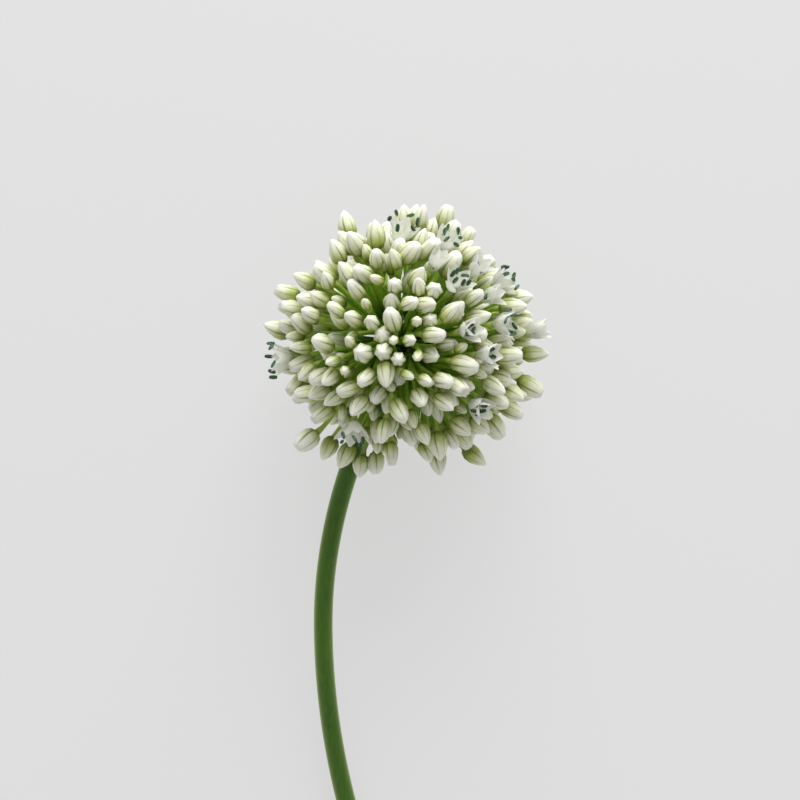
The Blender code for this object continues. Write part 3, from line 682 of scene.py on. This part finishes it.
# Where the green of the base gives way to cream moves up on a greener bud
greener = add_node(tree, "Math", {0: tone, 1: 0.09}, operation="MULTIPLY")
ripple = add_node(
    tree, "MapRange", {"Value": mottle, "From Min": 0.3, "From Max": 0.7, "To Min": -0.08, "To Max": 0.08}
)
ripeness_and_shade = add_node(tree, "Math", {0: height, 1: greener}, operation="SUBTRACT")
ripeness_and_shade = add_node(tree, "Math", {0: ripeness_and_shade, 1: ripple}, operation="ADD")
# Olive low on the bud, cream-white toward the tip: partly the bud's own green base, partly painted shade
# where the lower bud lies deeper in the head
body = add_node(tree, "ValToRGB", {"Fac": ripeness_and_shade})
set_stops(body, {0.0: "#72842A", 0.14: "#A0AD52", 0.34: "#C6CB90", 0.56: "#E8EACC", 1.0: "#F8F8EF"})
# The seam is a soft green line along the edge of each tepal that fades toward the tip. Its dark olive is
# partly the seam's own green and partly painted shade in the groove between tepals
seam = add_node(tree, "MapRange", {"Value": across, "From Min": 0.66}, interpolation_type="SMOOTHSTEP")
seam_fade = add_node(
    tree, "MapRange", {"Value": height, "From Min": 0.45, "From Max": 0.98, "To Min": 0.92, "To Max": 0.1}
)
seam = add_node(tree, "Math", {0: seam, 1: seam_fade}, operation="MULTIPLY")
seamed = add_node(tree, "MixRGB", {"Fac": seam, "Color1": body, "Color2": linear("#6A8424")})
# Fine veins that run up each tepal
veins = add_node(tree, "Math", {0: across, 1: 9.0}, operation="MULTIPLY")
veins = add_node(tree, "CombineXYZ", {"X": veins, "Y": height})
veins = add_node(tree, "TexNoise", {"Vector": veins, "Scale": 1.3, "Detail": 2.0})
veined = add_node(tree, "Bump", {"Height": veins, "Strength": 0.35, "Distance": 0.12 * MM})
feed(skin, {"Base Color": seamed, "Normal": veined, "Roughness": 0.5, "IOR": 1.4})
feed(skin, {"Subsurface Weight": 0.35, "Subsurface Radius": (1.0, 1.0, 0.4), "Subsurface Scale": 0.9 * MM})


def scale_points(obj, test, factors):
    """In edit mode, scales the vertices that pass the test about the origin."""
    select_points(obj, test)
    bpy.ops.transform.resize(value=factors, center_override=(0, 0, 0))


def tepal_share(co):
    """From the crown (0) to the edge (1) of the tepal that a point of the bud lies on."""
    if math.hypot(co.x, co.y) < TIP_NEAR * MM:
        return 0.5
    side = round(math.atan2(co.x, co.y) / (2 * math.pi) * BUD_SIDES)
    return SEAM_SHARES[side % len(SEAM_SHARES)]


def model_bud(name):
    """Raises a bud ring by ring from its neck, closes its tip, draws its seams in and winds it a little."""
    rings = BUD_RINGS[name]
    tall = 2 * BUD_HALF_LENGTH * MM
    wide = BUD_HALF_WIDTH * MM
    bpy.ops.object.select_all(action="DESELECT")
    bpy.ops.mesh.primitive_circle_add(vertices=BUD_SIDES, radius=rings[0][1] * wide, fill_type="NGON")
    bud = bpy.context.object
    bud.name = f"{name}_bud"
    bpy.ops.object.mode_set(mode="EDIT")
    bpy.ops.mesh.select_mode(type="VERT")
    for (low, narrow, _), (high, broad, _) in zip(rings, rings[1:]):
        raise_ring((high - low) * tall, broad / narrow)
    bpy.ops.mesh.poke(offset=BUD_TIPS[name] * tall)
    for high, _, seam in rings:
        level = high * tall
        scale_points(
            bud,
            lambda co: abs(co.z - level) < RING_NEAR * tall and tepal_share(co) > IN_SEAM,
            (1 - seam, 1 - seam, 1),
        )
    face_outwards()
    bpy.ops.object.mode_set(mode="OBJECT")
    write_skin(bud, tepal_share, lambda co: co.z / tall)
    bpy.ops.object.mode_set(mode="EDIT")
    for high, _, _ in rings:
        select_points(bud, lambda co: co.z > (high + RING_NEAR) * tall)
        bpy.ops.transform.rotate(value=BUD_TWIST / len(rings), orient_axis="Z", center_override=(0, 0, 0))
    bpy.ops.object.mode_set(mode="OBJECT")
    bpy.ops.object.shade_smooth()
    bud.data.materials.append(tepal_cream)
    return bud


bud_patterns = {name: model_bud(name) for name in BUD_RINGS}
kinds = rng.choice(list(BUD_KINDS), len(umbel.ways), p=list(BUD_KINDS.values()))
kinds[-len(STRAY_BUDS) :] = STRAY_KINDS
tones[-len(STRAY_BUDS) :] = STRAY_TONES
plumpness[-len(STRAY_BUDS) :] = STRAY_PLUMPNESS
bends = rng.normal(0, BUD_BEND, (len(umbel.ways), 2))


def stand(way, place, roll):
    """Turns a shape that stands along +Z to `way` and moves it to `place`."""
    turn = Vector(way).to_track_quat("Z", "Y").to_matrix().to_4x4()
    return Matrix.Translation(Vector(place) * MM) @ turn @ Matrix.Rotation(roll, 4, "Z")


def bud_of(k):
    """Bud k on its neck, with its pedicel."""
    size = umbel.half_length[k] / BUD_HALF_LENGTH
    young = size < YOUNG_BELOW
    bud = copy_of(bud_patterns["young" if young else kinds[k]], tones[k] + (YOUNG_TONE if young else 0.0))
    wide = size * plumpness[k]
    shape = Matrix.Diagonal((wide, wide, size, 1))
    shape[0][2], shape[1][2] = bends[k]
    bud.data.transform(stand(umbel.axes[k], middle + umbel.necks[k], rolls[k]) @ shape)
    return [bud, pedicel_of(k, BUD_SEAT)]


# ---------------------------------------------------------------------------------------------------------
# The cymes: the bunches that the umbel is condensed from. Each has one short fleshy foot on the receptacle,
# and from its top all the pedicels of the bunch part, so foot, pedicels and buds are one grown piece.

FOOT_SIDES = 12
FOOT_SPLAY = 1.25  # how much wider it is where it meets the receptacle
FOOT_EDGE = 0.25  # rounding of its top
FOOT_SINK = 0.5  # it starts this much lower than BASE_RADIUS, inside the receptacle

bpy.ops.object.select_all(action="DESELECT")
bpy.ops.mesh.primitive_cylinder_add(
    vertices=FOOT_SIDES,
    radius=FOOT_RADIUS * MM,
    depth=FOOT_LENGTH * MM,
    location=(0, 0, FOOT_LENGTH * MM / 2),
)
foot = bpy.context.object
bpy.ops.object.transform_apply(location=True, rotation=True, scale=True)
bpy.ops.object.mode_set(mode="EDIT")
bpy.ops.mesh.select_mode(type="VERT")
scale_points(foot, lambda co: co.z < NEAR * MM, (FOOT_SPLAY, FOOT_SPLAY, 1))
select_points(foot, lambda co: co.z > NEAR * MM)
bpy.ops.mesh.bevel(offset=FOOT_EDGE * MM, segments=2)
# The whole foot takes the foot end of the pedicel ramp, its darkest green, painted shade deep in the bunch
dress(foot, pedicel_green, lambda co: 0.5, lambda co: 0.0)

for cyme in range(CYMES):
    base = copy_of(foot, 0.0)
    root = middle + umbel.feet[cyme] * (BASE_RADIUS - FOOT_SINK)
    base.data.transform(stand(umbel.feet[cyme], root, 0.0))
    grown = [base]
    for k in np.flatnonzero(umbel.owners == cyme):
        grown += bud_of(k)
    piece = join(f"cyme_{cyme + 1:02d}_buds", grown)
    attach(piece, "root")
    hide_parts(f"cyme_{cyme + 1:02d}")

for n in range(len(STRAY_BUDS)):
    piece = join(f"stray_bud_{n + 1}_ripe", bud_of(FLORETS + len(OPEN_FLOWERS) + n))
    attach(piece, "root")
    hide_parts(f"stray_bud_{n + 1}")

# ---------------------------------------------------------------------------------------------------------
# The open flowers: six thin white tepals spread round a cup, with a green line down the back of each. Within
# stand six white filaments with dark green anthers, and a green ovary of three lobes that carries the style.

WHORL = 6  # tepals, and as many stamens
TEPAL_HALF_WIDTHS = (0.5, 1.0, 1.42, 1.66, 1.68, 1.44, 0.94, 0.24)  # from its foot to its tip, evenly apart
TEPAL_COLUMNS = 5  # of points, from edge to edge
TEPAL_CUP = 0.5  # how far its edges stand off its middle line, as a share of its half width
TEPAL_LIFT = 0.1  # of its foot above the neck of the flower
TEPAL_LEANS = (1.35, 0.6)  # at its foot and at its tip, as shares of the flower's spread
INNER_LEAN = 0.68  # the inner three tepals stand steeper than the outer three
ROW_NEAR = 0.02  # points nearer than this to a row of the tepal belong to it
FULL_SPREAD = math.radians(46)  # of the tepals, at which the filaments are full grown
FILAMENT_SIDES = 6
FILAMENT_LENGTH = 6.6
FILAMENT_RADII = (0.24, 0.2, 0.16, 0.12, 0.1)  # from its foot to its tip, evenly apart
FILAMENT_LIFT = 0.5  # the same
FILAMENT_LEAN = 0.72  # share of the tepals' spread
FILAMENT_LEANS = (1.2, 0.8)  # at its foot and at its tip, as shares of its whole lean
FLOWER_SWAY = 0.12  # how far tepals and filaments lean their own way
BROADSIDE = np.array((0.0, 1.0, 0.0))  # the side to which a tepal is broad, before it takes its place
FLOWER_SEAT = 0.3  # how far the pedicel reaches into the flower
ANTHER_LENGTH = 2.1
ANTHER_WIDTH = 1.0
ANTHER_THICKNESS = 0.8  # share of its width
ANTHER_TILT = 1.2  # it swings on its filament, this far either way
ANTHER_TURN = 3.0  # and turns round it, up to this far
FURROW_NEAR = 0.05  # points nearer than this to the middle of the anther lie in its furrow
FURROW_DEPTH = 0.6  # thickness left there, as a share
FURROW_END = 0.475  # share of the anther's length that it runs either way
ANTHER_ENDS = 0.3  # farther than this share of its length, the anther is made blunter
BLUNTER = (1.25, 1.25, 0.95)  # by so much
OVARY_RADIUS = 1.05
OVARY_HEIGHT = 1.2  # of its middle above the neck of the flower
OVARY_SIDES = 18
OVARY_LOBES = 3
OVARY_FURROW = 0.8  # radius left between the lobes, as a share
STYLE_RADII = (0.22, 0.12)
STYLE_LENGTH = 2.2
STYLE_HEIGHT = 3.2  # of its middle

# Thin soft white leaf, faintly green at its base, which glows where light passes through it
tepal_white, tree, skin = new_finish("open_tepal_white")
skin_map = add_node(tree, "UVMap", {}, uv_map="skin")
across, height, _ = add_node(tree, "SeparateXYZ", {"Vector": skin_map}).outputs
body = add_node(tree, "ValToRGB", {"Fac": height})
set_stops(body, {0.0: "#C9D19A", 0.3: "#F7F8F0", 1.0: "#FBFBF7"})
rib = add_node(
    tree,
    "MapRange",
    {"Value": across, "From Min": 0.02, "From Max": 0.16, "To Min": 0.7, "To Max": 0.0},
    interpolation_type="SMOOTHSTEP",
)
rib_fade = add_node(
    tree, "MapRange", {"Value": height, "From Min": 0.4, "From Max": 0.95, "To Min": 1.0, "To Max": 0.0}
)
rib = add_node(tree, "Math", {0: rib, 1: rib_fade}, operation="MULTIPLY")
ribbed = add_node(tree, "MixRGB", {"Fac": rib, "Color1": body, "Color2": linear("#A9B85A")})
veins = add_node(tree, "Math", {0: across, 1: 7.0}, operation="MULTIPLY")
veins = add_node(tree, "CombineXYZ", {"X": veins, "Y": height})
veins = add_node(tree, "TexNoise", {"Vector": veins, "Scale": 1.5, "Detail": 2.0})
veined = add_node(tree, "Bump", {"Height": veins, "Strength": 0.4, "Distance": 0.1 * MM})
feed(skin, {"Base Color": ribbed, "Normal": veined, "Roughness": 0.45, "IOR": 1.4})
glow = add_node(tree, "BsdfTranslucent", {"Color": linear("#FBFBF4")})
thin = add_node(tree, "MixShader", {0: 0.4, 1: skin, 2: glow})
feed(tree.nodes["Material Output"], {"Surface": thin})

# Ripe pollen sacs, dark blue-green with paler round sides, dull from their fine grain
anther_green, tree, skin = new_finish("anther_dark_green")
skin_map = add_node(tree, "UVMap", {}, uv_map="skin")
across = add_node(tree, "SeparateXYZ", {"Vector": skin_map}).outputs["X"]
where = add_node(tree, "TexCoord", {}).outputs["Object"]
pollen = add_node(tree, "TexNoise", {"Vector": where, "Scale": 1 / (0.25 * MM), "Detail": 2.0})
sacs = add_node(tree, "ValToRGB", {"Fac": across})
set_stops(sacs, {0.0: "#1C3A22", 0.55: "#3F6A4A", 1.0: "#8FB296"})
dusted = add_node(tree, "MixRGB", {"Fac": pollen, "Color1": sacs, "Color2": linear("#2F4A2C")})
grain = add_node(tree, "Bump", {"Height": pollen, "Strength": 0.5, "Distance": 0.05 * MM})
feed(skin, {"Base Color": dusted, "Normal": grain, "Roughness": 0.6})

# Juicy pale green skin with low warts, which take a wet gloss
ovary_green, tree, skin = new_finish("ovary_pale_green")
where = add_node(tree, "TexCoord", {}).outputs["Object"]
warts = add_node(tree, "TexVoronoi", {"Vector": where, "Scale": 1 / (0.3 * MM)})
fleshy = add_node(tree, "MixRGB", {"Fac": warts, "Color1": linear("#C9D3A6"), "Color2": linear("#A4B46C")})
warty = add_node(tree, "Bump", {"Height": warts, "Strength": 0.5, "Distance": 0.08 * MM})
feed(skin, {"Base Color": fleshy, "Normal": warty, "Roughness": 0.4})

# A flat tepal, a millimetre tall and real in width, edged by the half widths of its rows
rows = len(TEPAL_HALF_WIDTHS)
bpy.ops.object.select_all(action="DESELECT")
bpy.ops.mesh.primitive_grid_add(x_subdivisions=TEPAL_COLUMNS - 1, y_subdivisions=rows - 1, size=MM)
tepal = bpy.context.object
tepal.name = "tepal"
bpy.ops.object.mode_set(mode="EDIT")
bpy.ops.mesh.select_mode(type="VERT")
bpy.ops.mesh.select_all(action="SELECT")
bpy.ops.transform.translate(value=(0, 0.5 * MM, 0))
for row, half_width in enumerate(TEPAL_HALF_WIDTHS):
    level = row / (rows - 1) * MM
    scale_points(tepal, lambda co: abs(co.y - level) < ROW_NEAR * MM, (2 * half_width, 1, 1))
bpy.ops.object.mode_set(mode="OBJECT")


def half_width_at(height):
    """Half width of the tepal at a height from 0 to 1."""
    return np.interp(height, np.linspace(0, 1, rows), TEPAL_HALF_WIDTHS)


write_skin(tepal, lambda co: min(1.0, abs(co.x / MM) / half_width_at(co.y / MM)), lambda co: co.y / MM)
for vert in tepal.data.vertices:
    vert.co = (vert.co.x, TEPAL_CUP * vert.co.x**2 / MM / half_width_at(vert.co.y / MM), vert.co.y)
tepal.data.materials.append(tepal_white)

bpy.ops.object.select_all(action="DESELECT")
bpy.ops.mesh.primitive_circle_add(vertices=FILAMENT_SIDES, radius=FILAMENT_RADII[0] * MM, fill_type="NGON")
filament = bpy.context.object
filament.name = "filament"
bpy.ops.object.mode_set(mode="EDIT")
for below, above in zip(FILAMENT_RADII, FILAMENT_RADII[1:]):
    raise_ring(MM / (len(FILAMENT_RADII) - 1), above / below)
face_outwards()
dress(filament, tepal_white, lambda co: 1.0, lambda co: co.z / MM)

# An anther: two pollen sacs side by side with a furrow between
bpy.ops.object.select_all(action="DESELECT")
bpy.ops.mesh.primitive_uv_sphere_add(segments=12, ring_count=10, radius=0.5 * MM)
anther = bpy.context.object
anther.name = "anther"
anther.scale = (ANTHER_WIDTH, ANTHER_WIDTH * ANTHER_THICKNESS, ANTHER_LENGTH)
bpy.ops.object.transform_apply(location=False, rotation=False, scale=True)
bpy.ops.object.mode_set(mode="EDIT")
bpy.ops.mesh.select_mode(type="VERT")
scale_points(
    anther,
    lambda co: abs(co.x) < FURROW_NEAR * MM and abs(co.z) < FURROW_END * ANTHER_LENGTH * MM,
    (1, FURROW_DEPTH, 1),
)
scale_points(anther, lambda co: abs(co.z) > ANTHER_ENDS * ANTHER_LENGTH * MM, BLUNTER)
dress(
    anther,
    anther_green,
    lambda co: min(1.0, abs(co.x) / MM / (ANTHER_WIDTH / 2)),
    lambda co: 0.5 + co.z / MM / ANTHER_LENGTH,
)


def between_lobes(co):
    """True on the sides of the ovary that lie between two lobes."""
    side = round(math.atan2(co.y, co.x) / (2 * math.pi) * OVARY_SIDES)
    return side % (OVARY_SIDES // OVARY_LOBES) == 0


# The ovary, a globe drawn in between its three lobes, with the style on top
bpy.ops.object.select_all(action="DESELECT")
bpy.ops.mesh.primitive_uv_sphere_add(
    segments=OVARY_SIDES, ring_count=10, radius=OVARY_RADIUS * MM, location=(0, 0, OVARY_HEIGHT * MM)
)
ovary = bpy.context.object
ovary.name = "ovary"
bpy.ops.object.transform_apply(location=True, rotation=False, scale=False)
bpy.ops.object.mode_set(mode="EDIT")
bpy.ops.mesh.select_mode(type="VERT")
scale_points(ovary, between_lobes, (OVARY_FURROW, OVARY_FURROW, 1))
dress(ovary, ovary_green, lambda co: 0.5, lambda co: 0.5)
bpy.ops.object.select_all(action="DESELECT")
bpy.ops.mesh.primitive_cone_add(
    vertices=8,
    radius1=STYLE_RADII[0] * MM,
    radius2=STYLE_RADII[1] * MM,
    depth=STYLE_LENGTH * MM,
    location=(0, 0, STYLE_HEIGHT * MM),
)
style = bpy.context.object
bpy.ops.object.transform_apply(location=True, rotation=False, scale=False)
dress(style, tepal_white, lambda co: 1.0, lambda co: 1.0)
pistil = join("pistil", [ovary, style])


def spread_path(lean, shares, sway, length, lift):
    """A path outwards from the axis in the XZ plane. Its lean goes evenly from one share to the other."""
    count = PATH_POINTS - 1
    leans = np.linspace(lean * shares[0] + sway[0], lean * shares[1] + sway[1], count)
    steps = np.stack([np.sin(leans), np.zeros(count), np.cos(leans)], 1) * length / count
    return np.vstack([(0, 0, lift), (0, 0, lift) + np.cumsum(steps, 0)])


for n, row in enumerate(OPEN_FLOWERS):
    k = FLORETS + n
    spread = math.radians(row[3])
    grown_to = FILAMENT_LENGTH * min(1.0, spread / FULL_SPREAD) ** 2
    grown = []
    for turn in range(WHORL):
        sway = rng.normal(0, FLOWER_SWAY, 4)
        roll = 2 * math.pi / WHORL * (turn + WHORL_ROLL)
        lean = spread * (1.0 if turn % 2 else INNER_LEAN)
        path = spread_path(lean, TEPAL_LEANS, sway[:2], TEPAL_LENGTH, TEPAL_LIFT)
        leaf = bend_along(copy_of(tepal, 0.0), path, BROADSIDE)
        path = spread_path(spread * FILAMENT_LEAN, FILAMENT_LEANS, sway[2:], grown_to, FILAMENT_LIFT)
        thread = bend_along(copy_of(filament, 0.0), path, BROADSIDE)
        sacs = copy_of(anther, 0.0)
        tilt = Matrix.Rotation(rng.uniform(-ANTHER_TILT, ANTHER_TILT), 4, "X")
        about = Matrix.Rotation(rng.uniform(0, ANTHER_TURN), 4, "Z")
        sacs.data.transform(Matrix.Translation(Vector(path[-1]) * MM) @ (tilt @ about))
        for obj in (leaf, thread, sacs):
            obj.data.transform(stand(umbel.axes[k], middle + umbel.necks[k], roll))
        grown += [leaf, thread, sacs]
    seed_head = copy_of(pistil, 0.0)
    seed_head.data.transform(stand(umbel.axes[k], middle + umbel.necks[k], rolls[k]))
    grown += [seed_head, pedicel_of(k, FLOWER_SEAT)]
    piece = join(f"open_flower_{n + 1:02d}_tepals", grown)
    bpy.ops.object.shade_smooth()
    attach(piece, "root")
    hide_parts(f"open_flower_{n + 1:02d}")

for pattern in (pedicel, foot, tepal, filament, anther, pistil, *bud_patterns.values()):
    bpy.data.objects.remove(pattern)

# ---------------------------------------------------------------------------------------------------------
# The table: a plain pale surface under plain soft studio light, which comes mostly from beyond the head. The
# camera looks straight down on it. The table and the softbox are given in metres.

TABLE_SIZE = 4.0
SOFTBOX_PLACE = (0.1, 0.85, 0.4)
SOFTBOX_WIDTH = 0.9
SOFTBOX_ENERGY = 9.0
VIEW_ASIDE = (-1.15, -11.75)  # where the camera stands, across from the middle of the head
VIEW_DISTANCE = 600.0
VIEW_HALF_WIDTH = 92.2  # shown at the middle of the head
SENSOR_WIDTH = 36.0

# Dull card that glows a little of itself, so that the shadow on it stays faint
table_grey, _, surface = new_finish("table_pale_grey")
feed(surface, {"Base Color": linear("#7A7B7B"), "Roughness": 0.9})
feed(surface, {"Emission Color": linear("#FFFFFF"), "Emission Strength": 0.56})
bpy.ops.object.select_all(action="DESELECT")
bpy.ops.mesh.primitive_plane_add(size=TABLE_SIZE)
table = bpy.context.object
table.name = "table"
table.data.materials.append(table_grey)

world = bpy.data.worlds.new("soft_room")
world.use_nodes = True
feed(world.node_tree.nodes["Background"], {"Color": linear("#F7F7F5"), "Strength": 0.55})
bpy.context.scene.world = world

bpy.ops.object.light_add(type="AREA", location=SOFTBOX_PLACE)
softbox = bpy.context.object
softbox.data.shape = "DISK"
softbox.data.size = SOFTBOX_WIDTH
softbox.data.energy = SOFTBOX_ENERGY
aim = Vector(middle * MM) - softbox.location
softbox.rotation_euler = aim.to_track_quat("-Z", "Y").to_euler()

bpy.ops.object.camera_add(location=(middle + (*VIEW_ASIDE, VIEW_DISTANCE)) * MM, rotation=(0, 0, 0))
camera = bpy.context.object
camera.data.sensor_width = SENSOR_WIDTH
camera.data.lens = SENSOR_WIDTH / 2 * VIEW_DISTANCE / VIEW_HALF_WIDTH
camera.data.clip_start = 0.01
bpy.context.scene.camera = camera
bpy.context.scene.view_settings.view_transform = "Standard"
